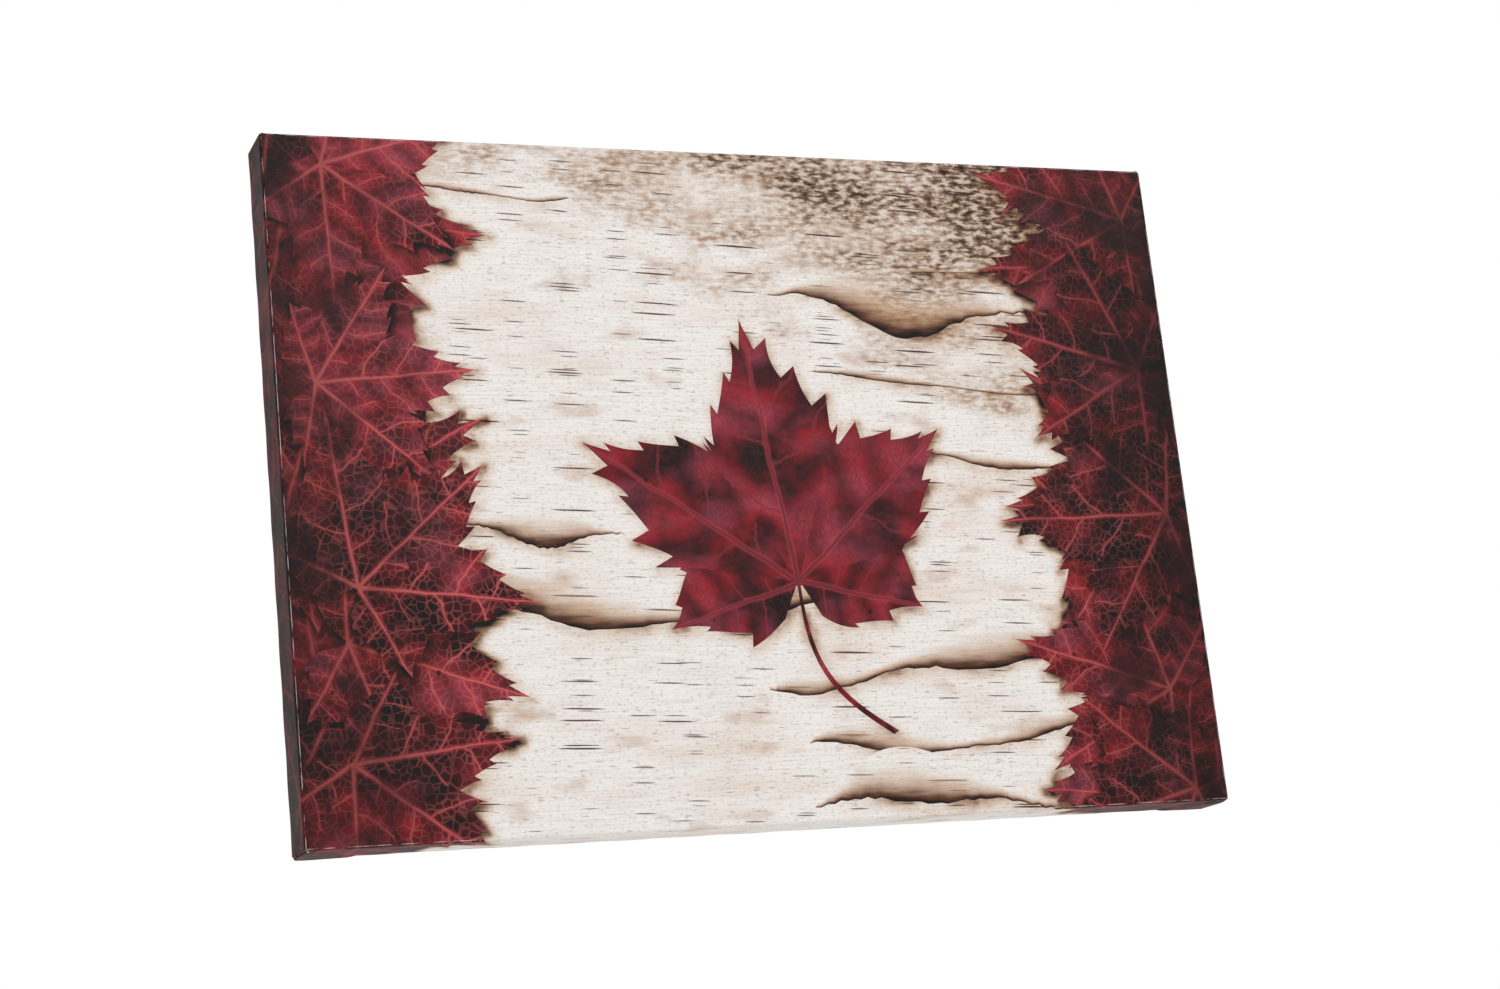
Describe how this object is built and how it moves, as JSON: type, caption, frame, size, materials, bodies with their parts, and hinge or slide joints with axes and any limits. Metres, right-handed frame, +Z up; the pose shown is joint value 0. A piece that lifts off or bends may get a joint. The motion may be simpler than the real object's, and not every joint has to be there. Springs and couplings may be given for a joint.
{
  "type": "stretched canvas",
  "caption": "Printed cotton canvas stretched over a keyed pine frame, with corner keys, stapled edges, strap hangers with D-rings and wall bumpers.",
  "frame": {"origin": "middle of the bounding box's base: centred on the width and mid-way from the painted face to the wall bumpers' ends", "axes": "+X to the right seen from the painted face, +Y from the painted face towards the wall, +Z up"},
  "size_m": [0.7122, 0.0438, 0.509],
  "materials": {
    "pine": "planed, unfinished",
    "key_hardwood": "sawn and sanded, unfinished",
    "printed_canvas": "primed cotton with a printed face",
    "staple_wire": "galvanised wire",
    "zinc_plated_strap": "zinc plated",
    "nickel_plated_ring": "nickel plated",
    "screw_steel": "zinc plated",
    "bumper_rubber": "matt moulded"
  },
  "bodies": {
    "frame": {"stretcher_bar_bottom": "pine", "stretcher_bar_top": "pine", "stretcher_bar_left": "pine", "stretcher_bar_right": "pine", "canvas": "printed_canvas", "staples_bottom": "staple_wire", "staples_top": "staple_wire", "staples_left": "staple_wire", "staples_right": "staple_wire", "hanger_strap_left": "zinc_plated_strap", "hanger_screw_left": "screw_steel", "wall_bumper_left": "bumper_rubber", "hanger_strap_right": "zinc_plated_strap", "hanger_screw_right": "screw_steel", "wall_bumper_right": "bumper_rubber"},
    "ring_left": {"hanger_ring_left": "nickel_plated_ring"},
    "ring_right": {"hanger_ring_right": "nickel_plated_ring"},
    "key_bottom_left_level": {"corner_key_bottom_left_level": "key_hardwood"},
    "key_bottom_left_upright": {"corner_key_bottom_left_upright": "key_hardwood"},
    "key_bottom_right_level": {"corner_key_bottom_right_level": "key_hardwood"},
    "key_bottom_right_upright": {"corner_key_bottom_right_upright": "key_hardwood"},
    "key_top_left_level": {"corner_key_top_left_level": "key_hardwood"},
    "key_top_left_upright": {"corner_key_top_left_upright": "key_hardwood"},
    "key_top_right_level": {"corner_key_top_right_level": "key_hardwood"},
    "key_top_right_upright": {"corner_key_top_right_upright": "key_hardwood"}
  },
  "joints": [
    {"name": "ring_left_hinge", "type": "hinge", "parent": "frame", "child": "ring_left", "pos_m": [-0.3216, 0.01938, 0.3815], "axis": [0, 0, 1], "range_deg": [-15, 174]},
    {"name": "ring_right_hinge", "type": "hinge", "parent": "frame", "child": "ring_right", "pos_m": [0.3216, 0.01938, 0.3815], "axis": [0, 0, -1], "range_deg": [-15, 174]},
    {"name": "key_bottom_left_level_slide", "type": "slide", "parent": "frame", "child": "key_bottom_left_level", "axis": [1, 0, 0], "range_m": [0, 0.032]},
    {"name": "key_bottom_left_upright_slide", "type": "slide", "parent": "frame", "child": "key_bottom_left_upright", "axis": [0, 0, 1], "range_m": [0, 0.032]},
    {"name": "key_bottom_right_level_slide", "type": "slide", "parent": "frame", "child": "key_bottom_right_level", "axis": [-1, 0, 0], "range_m": [0, 0.032]},
    {"name": "key_bottom_right_upright_slide", "type": "slide", "parent": "frame", "child": "key_bottom_right_upright", "axis": [0, 0, 1], "range_m": [0, 0.032]},
    {"name": "key_top_left_level_slide", "type": "slide", "parent": "frame", "child": "key_top_left_level", "axis": [1, 0, 0], "range_m": [0, 0.032]},
    {"name": "key_top_left_upright_slide", "type": "slide", "parent": "frame", "child": "key_top_left_upright", "axis": [0, 0, -1], "range_m": [0, 0.032]},
    {"name": "key_top_right_level_slide", "type": "slide", "parent": "frame", "child": "key_top_right_level", "axis": [-1, 0, 0], "range_m": [0, 0.032]},
    {"name": "key_top_right_upright_slide", "type": "slide", "parent": "frame", "child": "key_top_right_upright", "axis": [0, 0, -1], "range_m": [0, 0.032]}
  ]
}
